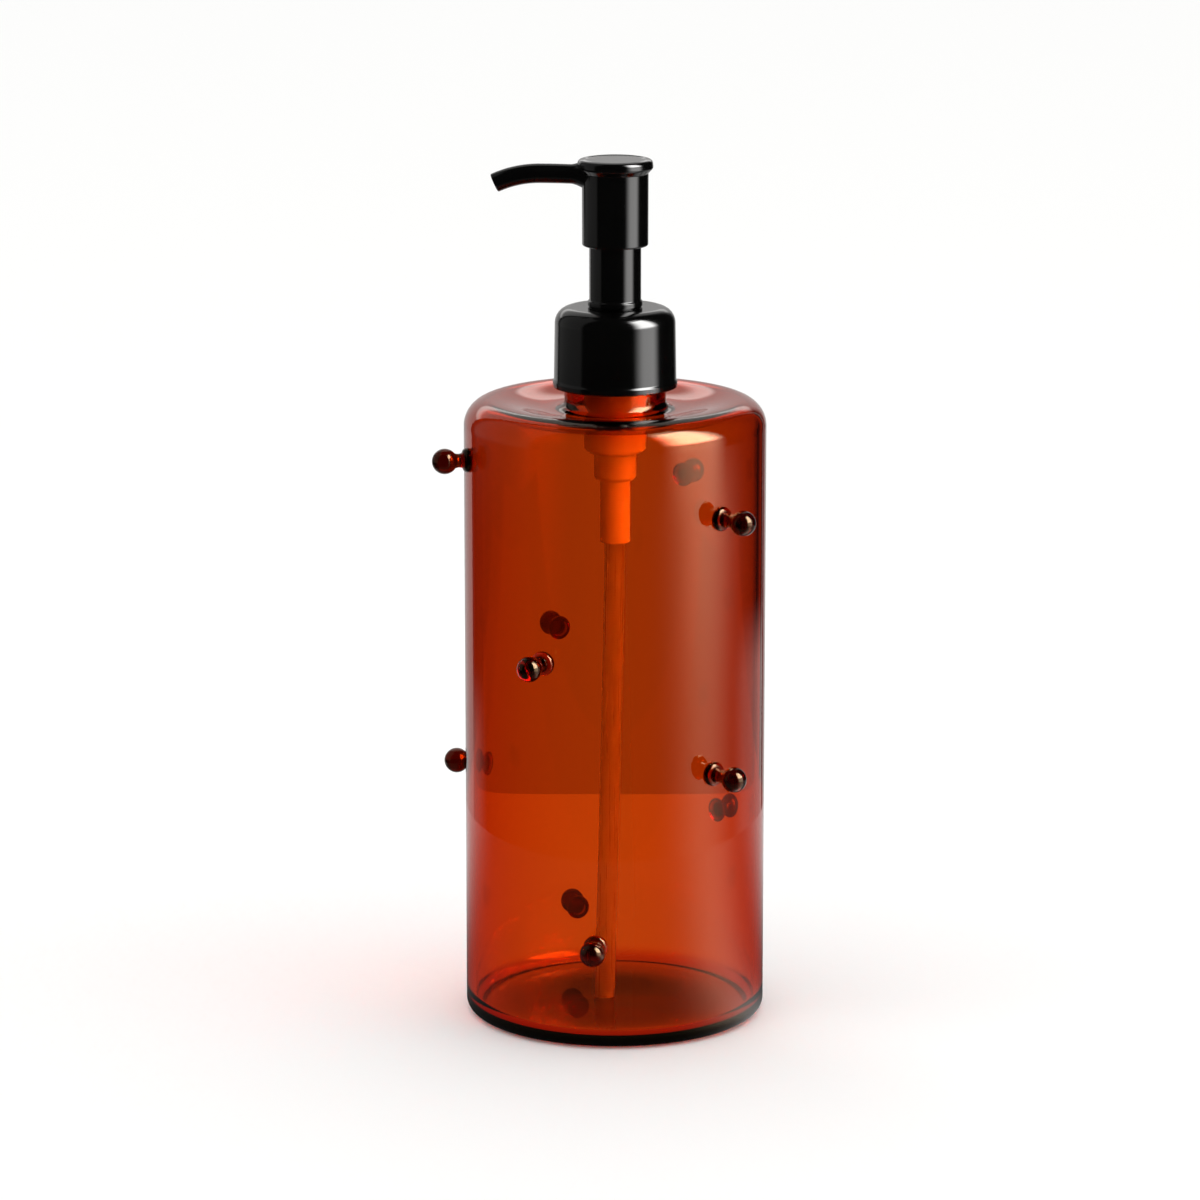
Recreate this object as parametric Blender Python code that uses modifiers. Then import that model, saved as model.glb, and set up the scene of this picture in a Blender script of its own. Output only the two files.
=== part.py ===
"""Soap pump dispenser: a glass bottle with applied glass beads and a screw-on lotion pump.

Frame: +Z up, origin at the centre of the flat base, nozzle towards -X.
Every length below is in millimetres and becomes metres through MM where a mesh or a place is made.
"""
import math

import bmesh
import bpy
from mathutils import Matrix, Vector

MM = 0.001
GAP = 0.3                     # clearance between pieces that touch or slide

# Bottle
BODY_R = 37.5                 # outside radius of the straight wall
WALL = 2.2                    # glass thickness of wall and shoulder
FLOOR_T = 2.2                 # glass thickness of the floor
BASE_ROUND = 3.0              # outside corner of the base
SHOULDER_Z = 156.5            # highest ring of the shoulder
SHOULDER_ROUND = 6.6          # outside corner between wall and shoulder
DISH_Z = 154.3                # bottom of the shoulder's dish, where the neck starts
NECK_ROOT_R = 15.1            # outside radius of the neck's flared root
NECK_R = 12.6                 # outside radius of the neck below and between the threads
BORE_R = 10.3                 # inside radius of the neck
NECK_TOP_Z = 175.0
FLOOR_CORNER = 2.5            # inside corner between floor and wall
BORE_FLARE = 1.5              # the neck's bore opens this much into the shoulder
LIP_INNER = 0.5               # corners of the neck's rim
LIP_OUTER = 0.6
DISH_STEPS = 4

# Thread, shared by neck and closure
THREAD_PITCH = 25.4 / 6       # six turns to the inch
THREAD_TURNS = 1.5
THREAD_ROD_R = 0.8            # radius of the rounded ridge, sunk into its wall
NECK_THREAD_R = NECK_R - 0.1  # centre of the neck's ridge
NECK_THREAD_TOP_Z = 172.4

# Beads: azimuth from the front (-Y) towards +X in degrees, height, and how far the ball's
# centre stands off the wall
BEADS = (
    (-74.0, 143.0, 6.1),
    (43.3, 131.8, 7.6),
    (-28.0, 97.0, 7.0),
    (-113.1, 59.7, 6.2),
    (39.8, 68.1, 7.8),
    (-7.4, 26.2, 6.2),
    (151.1, 131.0, 6.6),
    (-156.8, 90.6, 6.6),
    (-164.8, 15.7, 6.6),
    (132.5, 44.7, 6.6),
)
BEAD_BALL_R = 3.15
BEAD_WAIST_R = 1.8
BEAD_FOOT_R = 3.1
BEAD_NECK_DEG = -52.0         # where the ball runs into its waist
BEAD_FOOT_TOP = 2.2           # heights above the wall: where the foot begins,
BEAD_FOOT_SLOPE = 1.7         # half-way down its rounded top
BEAD_FOOT_SIDE = 1.0          # and the top of its straight side
BEAD_FACETS = 12

# Closure
CAP_TOP_Z = 179.5
CAP_PLATE = 1.6               # thickness of the closure's top
CAP_TOP_R = 14.85
CAP_BOTTOM_R = 15.15          # the side has a little draft
CAP_EDGE_ROUND = 4.0
CAP_LIP_R = 15.45
CAP_LIP_H = 1.4
CAP_LIP_SLOPE = 0.4           # height of the step from the side out to the lip
CAP_LIP_EDGE = 0.3
CAP_INNER_ROUND = 1.4
CAP_BOTTOM_Z = 159.7
CAP_INNER_R = 14.1
CAP_HOLE_R = 6.4
CAP_THREAD_R = CAP_INNER_R + 0.15

# Neck gasket and housing flange, stacked on the neck's rim
GASKET_T = 0.9
GASKET_R = 12.3
GASKET_HOLE_R = 8.4
GASKET_Z = NECK_TOP_Z + GAP
FLANGE_Z = GASKET_Z + GASKET_T + GAP
FLANGE_TOP_Z = CAP_TOP_Z - CAP_PLATE - GAP

# Pump housing
BARREL_R = 7.65
BARREL_BORE_R = 6.5
BARREL_FOOT_Z = 143.2
CHAMBER_R = 5.25
CHAMBER_BORE_R = 4.1
CHAMBER_FOOT_Z = 136.3
SOCKET_R = 3.75
SOCKET_BORE_R = 2.88
SOCKET_FOOT_Z = 120.5
SPRING_LEDGE_Z = 145.3
TUBE_STOP_Z = 133.9
SEAT_HOLE_R = 1.5
SEAT_Z = 135.2
STEP_ROUND = 1.0              # chamfer at each step of the housing

# Guide tower
TOWER_R = 6.4
TOWER_BORE_R = 4.7
TOWER_TOP_Z = 196.8
TOWER_RING_R = 6.75
TOWER_RING_Z = CAP_TOP_Z + GAP
TOWER_RING_H = 1.2
TOWER_PLUG_R = 6.1
TOWER_FOOT_Z = 171.0
TOWER_LIP_R = 3.65            # guide hole for the stem
TOWER_LIP_H = 3.0
TOWER_LIP_CONE = 1.0          # height of the cone above the guide hole
TOWER_EDGE = 0.4
TOWER_RING_SLOPE = 0.2

# Actuator head
HEAD_TOP_Z = 216.2
HEAD_TOP_R = 8.3
RIM_R = 9.4
RIM_Z = 214.4
SKIRT_R = 8.2
SKIRT_TOP_Z = 212.7
SKIRT_BOTTOM_Z = 194.75
SKIRT_BORE_R = 7.0
SKIRT_EDGE = 0.5
CEILING_Z = 210.2
BOSS_R = 4.35
BOSS_BORE_R = 3.6
BOSS_FOOT_Z = 203.0
DISH_DEPTH = 0.2              # the disc's top face is very slightly hollow
DISH_EDGE = 1.2               # width of the slope round the hollow
RIM_BULGE_R = 9.18            # a point on the rim's rounded upper edge
RIM_BULGE_Z = 215.48
RIM_UNDER_R = 9.15            # and one on its underside
RIM_UNDER_Z = 213.4

# Nozzle: a straight stretch, then an arc that droops to the tip
NOZZLE_R = 2.4
NOZZLE_BORE_R = 1.2
NOZZLE_Z = 212.3
NOZZLE_RISE = 0.3             # the straight stretch climbs this much to the arc
NOZZLE_ARC_X = -18.7
NOZZLE_ARC_R = 26.0
NOZZLE_DROOP_DEG = 25.0
NOZZLE_ROOT_X = -7.3          # inside the skirt's wall, clear of its bore
NOZZLE_BLEND_X = -10.9
NOZZLE_BLEND_R = 3.35
BLEND_TIP_R = NOZZLE_R + 0.05
UPRIGHT_BORE_R = 1.4
BORE_OVERRUN = 2.0            # how far a bore's cutter runs past the face that it opens in

# Stem, piston, spring and valves
STEM_R = 3.3
STEM_BORE_R = 1.2
STEM_TOP_Z = CEILING_Z - GAP
STEM_CUP_R = 2.5
STEM_CUP_Z = 203.6
STEM_CONE_H = STEM_CUP_R - STEM_BORE_R   # a 45 degree seat
STEM_FLANGE_R = 5.7
STEM_FLANGE_TOP_Z = 164.9
STEM_FOOT_Z = 163.7
PISTON_R = 6.25
PISTON_WAIST_R = 5.3
PISTON_BORE_R = STEM_R + GAP
PISTON_TOP_Z = TOWER_FOOT_Z - GAP
PISTON_FOOT_Z = STEM_FLANGE_TOP_Z + GAP
PISTON_LIP_H = 1.3
SPRING_R = 5.2
SPRING_WIRE_R = 0.4
SPRING_TURNS = 5
SPRING_FOOT_Z = SPRING_LEDGE_Z + GAP + SPRING_WIRE_R
SPRING_TOP_Z = STEM_FOOT_Z - GAP - SPRING_WIRE_R
SPRING_END_GAP = 0.1          # between the closed end coils
BALL_R = 2.2
OUTLET_BALL_R = 1.95

# Dip tube
TUBE_R = 2.58
TUBE_BORE_R = 1.85
TUBE_TOP_Z = TUBE_STOP_Z - GAP
TUBE_FOOT_Z = 2.75
TUBE_LEAN = 2.6               # how far the foot lies towards -X

COARSE = 20                   # facets round small inner pieces
MIDDLE = 28
FINE = 40                     # facets round the bottle


def new_collection(name):
    """An empty collection linked to the scene."""
    group = bpy.data.collections.new(name)
    bpy.context.scene.collection.children.link(group)
    return group


def clear_scene():
    """Take away whatever the opened file holds."""
    for obj in list(bpy.data.objects):
        bpy.data.objects.remove(obj, do_unlink=True)


def finish_material(name, colour, roughness, metallic=0.0, transmission=0.0):
    """A Principled material in one plain colour."""
    material = bpy.data.materials.new(name)
    material.use_nodes = True
    shader = material.node_tree.nodes["Principled BSDF"]
    shader.inputs["Base Color"].default_value = (*colour, 1.0)
    shader.inputs["Roughness"].default_value = roughness
    shader.inputs["Metallic"].default_value = metallic
    shader.inputs["Transmission Weight"].default_value = transmission
    return material


def arc(centre_r, centre_z, radius, start_deg, end_deg, steps):
    """Points of a circular arc in the (radius, height) plane, both ends included."""
    points = []
    for i in range(steps + 1):
        angle = math.radians(start_deg + (end_deg - start_deg) * i / steps)
        points.append((centre_r + radius * math.cos(angle), centre_z + radius * math.sin(angle)))
    return points


def turned(name, outline, facets, group, material, ring=False):
    """A turned solid. The outline of (radius, height) points runs down the outer side; a ring's
    outline closes on itself, any other starts and ends on the axis."""
    vertices = [(r * MM, 0.0, z * MM) for r, z in outline]
    edges = [(i, i + 1) for i in range(len(vertices) - 1)]
    if ring:
        edges.append((len(vertices) - 1, 0))
    mesh = bpy.data.meshes.new(name)
    mesh.from_pydata(vertices, edges, [])
    obj = bpy.data.objects.new(name, mesh)
    group.objects.link(obj)
    obj.data.materials.append(material)
    screw = obj.modifiers.new("turn", "SCREW")
    screw.axis = "Z"
    screw.steps = facets
    screw.render_steps = facets
    screw.use_merge_vertices = True
    screw.merge_threshold = 0.00001
    screw.use_smooth_shade = True
    return obj


def wire(name, points, radius, group, material, sides=2, caps=True):
    """A round rod along a list of points in millimetres."""
    curve = bpy.data.curves.new(name, "CURVE")
    curve.dimensions = "3D"
    curve.bevel_depth = radius * MM
    curve.bevel_resolution = sides
    curve.use_fill_caps = caps
    spline = curve.splines.new("POLY")
    spline.points.add(len(points) - 1)
    for point, (x, y, z) in zip(spline.points, points):
        point.co = (x * MM, y * MM, z * MM, 1.0)
    obj = bpy.data.objects.new(name, curve)
    group.objects.link(obj)
    obj.data.materials.append(material)
    return obj


def as_mesh(obj):
    """The mesh of a rod, its caps welded on, in place of its curve."""
    graph = bpy.context.evaluated_depsgraph_get()
    mesh = bpy.data.meshes.new_from_object(obj.evaluated_get(graph))
    solid = bmesh.new()
    solid.from_mesh(mesh)
    bmesh.ops.remove_doubles(solid, verts=solid.verts, dist=0.000001)
    bmesh.ops.recalc_face_normals(solid, faces=solid.faces)
    solid.to_mesh(mesh)
    solid.free()
    name = obj.name
    group = obj.users_collection[0]
    matrix = obj.matrix_world.copy()
    bpy.data.objects.remove(obj, do_unlink=True)
    result = bpy.data.objects.new(name, mesh)
    group.objects.link(result)
    result.matrix_world = matrix
    return result


def as_cutter(obj):
    """Mark a helper that only cuts or joins."""
    obj.hide_render = True
    obj.display_type = "WIRE"
    return obj


def combine(target, helper, operation):
    """Join the helper to the target, or cut it away."""
    boolean = target.modifiers.new(helper.name, "BOOLEAN")
    boolean.operation = operation
    boolean.object = helper
    boolean.solver = "EXACT"


def shade(obj, angle_deg=35.0):
    """Smooth shading with sharp edges kept."""
    obj.data.shade_smooth()
    obj.data.set_sharp_from_angle(angle=math.radians(angle_deg))


def ball(name, radius, height, group, material):
    """A solid ball on the axis."""
    mesh = bpy.data.meshes.new(name)
    solid = bmesh.new()
    bmesh.ops.create_uvsphere(solid, u_segments=16, v_segments=10, radius=radius * MM)
    solid.to_mesh(mesh)
    solid.free()
    obj = bpy.data.objects.new(name, mesh)
    group.objects.link(obj)
    obj.data.materials.append(material)
    obj.location = (0.0, 0.0, height * MM)
    shade(obj)
    return obj


def thread_ridge(name, radius, top_z, phase_deg, group, material):
    """One helical ridge of THREAD_TURNS turns, falling clockwise from its top."""
    per_turn = 20
    count = int(per_turn * THREAD_TURNS)
    points = []
    for i in range(count + 1):
        turn = i / per_turn
        angle = math.radians(phase_deg) - 2.0 * math.pi * turn
        points.append((radius * math.cos(angle), radius * math.sin(angle), top_z - THREAD_PITCH * turn))
    rod = wire(name, points, THREAD_ROD_R, group, material, sides=1)
    return as_cutter(as_mesh(rod))


def shoulder_height(r):
    """Height of the shoulder's top face at a radius between the neck's root and the corner: half a
    cosine wave from the bottom of the dish up to the highest ring."""
    outer = BODY_R - SHOULDER_ROUND
    part = (r - NECK_ROOT_R) / (outer - NECK_ROOT_R)
    return DISH_Z + (SHOULDER_Z - DISH_Z) * 0.5 * (1.0 - math.cos(math.pi * part))


def glass_bottle(group, helpers, material):
    """The bottle, turned as one wall that runs down outside and comes back up inside."""
    corner_r = BODY_R - SHOULDER_ROUND
    corner_z = SHOULDER_Z - SHOULDER_ROUND
    inner_r = BODY_R - WALL
    inner_corner = SHOULDER_ROUND - WALL
    dish = [NECK_ROOT_R + (corner_r - NECK_ROOT_R) * i / DISH_STEPS for i in range(1, DISH_STEPS)]
    root = NECK_ROOT_R - NECK_R
    outline = [(0.0, FLOOR_T)]
    outline += arc(inner_r - FLOOR_CORNER, FLOOR_T + FLOOR_CORNER, FLOOR_CORNER, -90, 0, steps=3)
    outline += arc(corner_r, corner_z, inner_corner, 0, 90, steps=3)
    outline += [(r, shoulder_height(r) - WALL) for r in reversed(dish[1:])]
    outline += [(BORE_R + BORE_FLARE, DISH_Z - WALL), (BORE_R, DISH_Z - WALL + BORE_FLARE)]
    outline += [(BORE_R, NECK_TOP_Z - LIP_INNER), (BORE_R + LIP_INNER, NECK_TOP_Z)]
    outline += [(NECK_R - LIP_OUTER, NECK_TOP_Z), (NECK_R, NECK_TOP_Z - LIP_OUTER)]
    outline += arc(NECK_R + root, DISH_Z + root, root, 180, 270, steps=3)
    outline += [(r, shoulder_height(r)) for r in dish]
    outline += arc(corner_r, corner_z, SHOULDER_ROUND, 90, 0, steps=5)
    outline += arc(BODY_R - BASE_ROUND, BASE_ROUND, BASE_ROUND, 0, -90, steps=4)
    outline += [(0.0, 0.0)]
    bottle = turned("glass_bottle", outline, FINE, group, material)
    ridge = thread_ridge("neck_thread_ridge", NECK_THREAD_R, NECK_THREAD_TOP_Z, 0.0, helpers, material)
    combine(bottle, ridge, "UNION")
    return bottle


def glass_bead(number, azimuth_deg, height, stand_off, group, material):
    """One bead: ball, waist and rounded foot, its flat foot held just off the wall."""
    waist_z = 0.5 * (stand_off - BEAD_BALL_R + BEAD_FOOT_TOP)
    outline = arc(0.0, stand_off, BEAD_BALL_R, 90, BEAD_NECK_DEG, steps=6)
    outline[0] = (0.0, stand_off + BEAD_BALL_R)
    outline += [(BEAD_WAIST_R, waist_z)]
    outline += [(0.5 * (BEAD_WAIST_R + BEAD_FOOT_R), BEAD_FOOT_SLOPE)]
    outline += [(BEAD_FOOT_R, BEAD_FOOT_SIDE), (BEAD_FOOT_R, GAP)]
    outline += [(0.0, GAP)]
    bead = turned("glass_bead_%02d" % number, outline, BEAD_FACETS, group, material)
    azimuth = math.radians(azimuth_deg)
    outward = Vector((math.sin(azimuth), -math.cos(azimuth), 0.0))
    bead.rotation_euler = outward.to_track_quat("Z", "Y").to_euler()
    bead.location = outward * BODY_R * MM + Vector((0.0, 0.0, height * MM))
    return bead


def closure(group, helpers, material):
    """The screw cap: rounded top edge, small draft, lip at the foot, threaded inside."""
    plate_z = CAP_TOP_Z - CAP_PLATE
    outline = [(CAP_HOLE_R, CAP_TOP_Z)]
    outline += arc(CAP_TOP_R - CAP_EDGE_ROUND, CAP_TOP_Z - CAP_EDGE_ROUND, CAP_EDGE_ROUND, 90, 0, steps=5)
    outline += [(CAP_BOTTOM_R, CAP_BOTTOM_Z + CAP_LIP_H + CAP_LIP_SLOPE)]
    outline += [(CAP_LIP_R, CAP_BOTTOM_Z + CAP_LIP_H)]
    outline += [(CAP_LIP_R, CAP_BOTTOM_Z + CAP_LIP_EDGE), (CAP_LIP_R - CAP_LIP_EDGE, CAP_BOTTOM_Z)]
    outline += [(CAP_INNER_R, CAP_BOTTOM_Z)]
    outline += arc(CAP_INNER_R - CAP_INNER_ROUND, plate_z - CAP_INNER_ROUND, CAP_INNER_ROUND, 0, 90, steps=2)
    outline += [(CAP_HOLE_R, plate_z)]
    cap = turned("closure", outline, MIDDLE, group, material, ring=True)
    ridge_top = NECK_THREAD_TOP_Z - 0.5 * THREAD_PITCH
    ridge = thread_ridge("closure_thread_ridge", CAP_THREAD_R, ridge_top, 0.0, helpers, material)
    combine(cap, ridge, "UNION")
    return cap


def neck_gasket(group, material):
    """The flat washer on the neck's rim."""
    top_z = GASKET_Z + GASKET_T
    outline = [(GASKET_HOLE_R, top_z), (GASKET_R, top_z), (GASKET_R, GASKET_Z), (GASKET_HOLE_R, GASKET_Z)]
    return turned("neck_gasket", outline, MIDDLE, group, material, ring=True)


def pump_housing(group, material):
    """Flange, barrel, valve chamber and tube socket, with the inlet seat's cone inside."""
    outline = [(BARREL_BORE_R, FLANGE_TOP_Z), (GASKET_R, FLANGE_TOP_Z), (GASKET_R, FLANGE_Z)]
    outline += [(BARREL_R, FLANGE_Z)]
    outline += [(BARREL_R, BARREL_FOOT_Z + STEP_ROUND), (BARREL_R - STEP_ROUND, BARREL_FOOT_Z)]
    outline += [(CHAMBER_R, BARREL_FOOT_Z), (CHAMBER_R, CHAMBER_FOOT_Z + STEP_ROUND)]
    outline += [(CHAMBER_R - STEP_ROUND, CHAMBER_FOOT_Z), (SOCKET_R, CHAMBER_FOOT_Z)]
    outline += [(SOCKET_R, SOCKET_FOOT_Z), (SOCKET_BORE_R, SOCKET_FOOT_Z)]
    outline += [(SOCKET_BORE_R, TUBE_STOP_Z), (SEAT_HOLE_R, TUBE_STOP_Z), (SEAT_HOLE_R, SEAT_Z)]
    outline += [(CHAMBER_BORE_R, SEAT_Z + CHAMBER_BORE_R - SEAT_HOLE_R)]
    outline += [(CHAMBER_BORE_R, SPRING_LEDGE_Z), (BARREL_BORE_R, SPRING_LEDGE_Z)]
    return turned("pump_housing", outline, MIDDLE, group, material, ring=True)


def guide_tower(group, material):
    """The fixed tube over which the head slides, its plug pressed into the housing's mouth."""
    ring_top_z = TOWER_RING_Z + TOWER_RING_H
    outline = [(TOWER_BORE_R, TOWER_TOP_Z), (TOWER_R - TOWER_EDGE, TOWER_TOP_Z)]
    outline += [(TOWER_R, TOWER_TOP_Z - TOWER_EDGE), (TOWER_R, ring_top_z + TOWER_RING_SLOPE)]
    outline += [(TOWER_RING_R, ring_top_z - TOWER_RING_SLOPE)]
    outline += [(TOWER_RING_R, TOWER_RING_Z), (TOWER_PLUG_R, TOWER_RING_Z)]
    outline += [(TOWER_PLUG_R, TOWER_FOOT_Z), (TOWER_LIP_R, TOWER_FOOT_Z)]
    outline += [(TOWER_LIP_R, TOWER_FOOT_Z + TOWER_LIP_H)]
    outline += [(TOWER_BORE_R, TOWER_FOOT_Z + TOWER_LIP_H + TOWER_LIP_CONE)]
    return turned("guide_tower", outline, MIDDLE, group, material, ring=True)


def nozzle_line(start_x, overrun):
    """Centre line of the nozzle from start_x to the tip, with overrun beyond it."""
    points = [(start_x, 0.0, NOZZLE_Z), (NOZZLE_ARC_X, 0.0, NOZZLE_Z + NOZZLE_RISE)]
    count = 6
    for i in range(1, count + 1):
        angle = math.radians(NOZZLE_DROOP_DEG * i / count)
        x = NOZZLE_ARC_X - NOZZLE_ARC_R * math.sin(angle)
        z = NOZZLE_Z + NOZZLE_RISE - NOZZLE_ARC_R * (1.0 - math.cos(angle))
        points.append((x, 0.0, z))
    if overrun > 0.0:
        droop = math.radians(NOZZLE_DROOP_DEG)
        x, y, z = points[-1]
        points.append((x - overrun * math.cos(droop), y, z - overrun * math.sin(droop)))
    return points


def actuator_head(group, helpers, material):
    """Disc top, skirt, stem boss and nozzle in one moulding, with the liquid's way through."""
    outline = [(0.0, HEAD_TOP_Z - DISH_DEPTH), (HEAD_TOP_R - DISH_EDGE, HEAD_TOP_Z - DISH_DEPTH)]
    outline += [(HEAD_TOP_R, HEAD_TOP_Z), (RIM_BULGE_R, RIM_BULGE_Z), (RIM_R, RIM_Z)]
    outline += [(RIM_UNDER_R, RIM_UNDER_Z), (SKIRT_R, SKIRT_TOP_Z)]
    outline += [(SKIRT_R, SKIRT_BOTTOM_Z + SKIRT_EDGE), (SKIRT_R - SKIRT_EDGE, SKIRT_BOTTOM_Z)]
    outline += [(SKIRT_BORE_R, SKIRT_BOTTOM_Z), (SKIRT_BORE_R, CEILING_Z), (BOSS_R, CEILING_Z)]
    outline += [(BOSS_R, BOSS_FOOT_Z), (BOSS_BORE_R, BOSS_FOOT_Z), (BOSS_BORE_R, CEILING_Z)]
    outline += [(0.0, CEILING_Z)]
    head = turned("actuator_head", outline, MIDDLE, group, material)

    nozzle = wire("nozzle_rod", nozzle_line(NOZZLE_ROOT_X, 0.0), NOZZLE_R, helpers, material, sides=3)
    combine(head, as_cutter(as_mesh(nozzle)), "UNION")

    blend = bpy.data.meshes.new("nozzle_blend")
    cone = bmesh.new()
    length = NOZZLE_ROOT_X - NOZZLE_BLEND_X
    place = Matrix.Translation((0.5 * (NOZZLE_ROOT_X + NOZZLE_BLEND_X) * MM, 0.0, NOZZLE_Z * MM))
    turn = Matrix.Rotation(math.radians(-90.0), 4, "Y")
    bmesh.ops.create_cone(cone, cap_ends=True, segments=16, radius1=NOZZLE_BLEND_R * MM,
                          radius2=BLEND_TIP_R * MM, depth=length * MM, matrix=place @ turn)
    cone.to_mesh(blend)
    cone.free()
    blend_object = bpy.data.objects.new("nozzle_blend", blend)
    helpers.objects.link(blend_object)
    combine(head, as_cutter(blend_object), "UNION")

    bore_line = nozzle_line(0.5 * UPRIGHT_BORE_R, BORE_OVERRUN)
    bore = wire("nozzle_bore", bore_line, NOZZLE_BORE_R, helpers, material)
    combine(head, as_cutter(as_mesh(bore)), "DIFFERENCE")
    upright = [(0.0, 0.0, CEILING_Z - BORE_OVERRUN), (0.0, 0.0, NOZZLE_Z)]
    upright_bore = wire("upright_bore", upright, UPRIGHT_BORE_R, helpers, material)
    combine(head, as_cutter(as_mesh(upright_bore)), "DIFFERENCE")
    return head


def stem(group, material):
    """Hollow stem: a cup with a cone seat for the outlet ball on top, the spring's flange below."""
    outline = [(STEM_CUP_R, STEM_TOP_Z), (STEM_R, STEM_TOP_Z), (STEM_R, STEM_FLANGE_TOP_Z)]
    outline += [(STEM_FLANGE_R, STEM_FLANGE_TOP_Z), (STEM_FLANGE_R, STEM_FOOT_Z)]
    outline += [(STEM_BORE_R, STEM_FOOT_Z), (STEM_BORE_R, STEM_CUP_Z - STEM_CONE_H)]
    outline += [(STEM_CUP_R, STEM_CUP_Z)]
    return turned("stem", outline, COARSE, group, material, ring=True)


def piston_seal(group, material):
    """Double-lipped ring on the stem that runs in the barrel."""
    lip_top_z = PISTON_TOP_Z - PISTON_LIP_H
    lip_foot_z = PISTON_FOOT_Z + PISTON_LIP_H
    outline = [(PISTON_BORE_R, PISTON_TOP_Z), (PISTON_R, PISTON_TOP_Z), (PISTON_WAIST_R, lip_top_z)]
    outline += [(PISTON_WAIST_R, lip_foot_z), (PISTON_R, PISTON_FOOT_Z), (PISTON_BORE_R, PISTON_FOOT_Z)]
    return turned("piston_seal", outline, COARSE, group, material, ring=True)


def return_spring(group, material):
    """Steel compression spring with its end coils closed up."""
    per_turn = 14
    count = SPRING_TURNS * per_turn
    height = SPRING_TOP_Z - SPRING_FOOT_Z
    closed = 2.0 * SPRING_WIRE_R + SPRING_END_GAP
    points = []
    for i in range(count + 1):
        turn = i / per_turn
        angle = 2.0 * math.pi * turn
        lower = min(turn, 1.0) * closed
        upper = max(turn - (SPRING_TURNS - 1.0), 0.0) * closed
        middle = min(max(turn - 1.0, 0.0), SPRING_TURNS - 2.0) / (SPRING_TURNS - 2.0)
        z = SPRING_FOOT_Z + lower + upper + middle * (height - 2.0 * closed)
        points.append((SPRING_R * math.cos(angle), SPRING_R * math.sin(angle), z))
    return wire("return_spring", points, SPRING_WIRE_R, group, material, sides=2)


def dip_tube(group, material):
    """Straight inside its socket, then leaning a little, as a cut length off a coil does."""
    points = [(0.0, 0.0, TUBE_TOP_Z), (0.0, 0.0, SOCKET_FOOT_Z)]
    count = 8
    for i in range(1, count + 1):
        part = i / count
        x = -TUBE_LEAN * part ** 1.2
        points.append((x, 0.0, SOCKET_FOOT_Z + (TUBE_FOOT_Z - SOCKET_FOOT_Z) * part))
    tube = as_mesh(wire("dip_tube", points, TUBE_R, group, material, sides=2, caps=False))
    wall = tube.modifiers.new("wall", "SOLIDIFY")
    wall.thickness = (TUBE_R - TUBE_BORE_R) * MM
    wall.offset = -1.0
    wall.use_rim = True
    return tube


def seat_height(ball_radius, hole_r, edge_z):
    """Height of a ball's centre when it sits GAP clear of a 45 degree cone that opens upwards from
    a hole of radius hole_r at height edge_z."""
    return edge_z - hole_r + (ball_radius + 0.5 * GAP) * math.sqrt(2.0)


def build():
    """Make every piece."""
    clear_scene()
    group = new_collection("soap_pump_dispenser")
    helpers = new_collection("cutters")

    amber_glass = finish_material("amber_glass", (0.50, 0.07, 0.01), 0.03, transmission=0.9)
    black_plastic = finish_material("black_plastic", (0.008, 0.008, 0.008), 0.12)
    natural_plastic = finish_material("natural_plastic", (0.86, 0.84, 0.78), 0.4)
    clear_tube = finish_material("clear_tube", (0.85, 0.86, 0.84), 0.3, transmission=0.5)
    soft_seal = finish_material("soft_seal", (0.90, 0.90, 0.88), 0.5)
    spring_steel = finish_material("spring_steel", (0.60, 0.60, 0.60), 0.25, metallic=1.0)
    valve_glass = finish_material("valve_glass", (0.75, 0.80, 0.80), 0.05, transmission=0.8)

    glass_bottle(group, helpers, amber_glass)
    for number, (azimuth_deg, height, stand_off) in enumerate(BEADS, start=1):
        glass_bead(number, azimuth_deg, height, stand_off, group, amber_glass)
    closure(group, helpers, black_plastic)
    neck_gasket(group, soft_seal)
    pump_housing(group, natural_plastic)
    guide_tower(group, black_plastic)
    actuator_head(group, helpers, black_plastic)
    stem(group, natural_plastic)
    piston_seal(group, soft_seal)
    return_spring(group, spring_steel)
    dip_tube(group, clear_tube)
    ball("inlet_ball", BALL_R, seat_height(BALL_R, SEAT_HOLE_R, SEAT_Z), group, valve_glass)
    outlet_z = seat_height(OUTLET_BALL_R, STEM_CUP_R, STEM_CUP_Z)
    ball("outlet_ball", OUTLET_BALL_R, outlet_z, group, valve_glass)


build()
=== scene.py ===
"""Soap pump dispenser: an amber glass bottle with glass beads and a black lotion pump.

Every shape is a surface of two parameters, worked out as whole arrays in the CAD frame's metres:
+Z up, nozzle towards -X, and the bottle's base centred on the origin.
"""
import math

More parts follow.
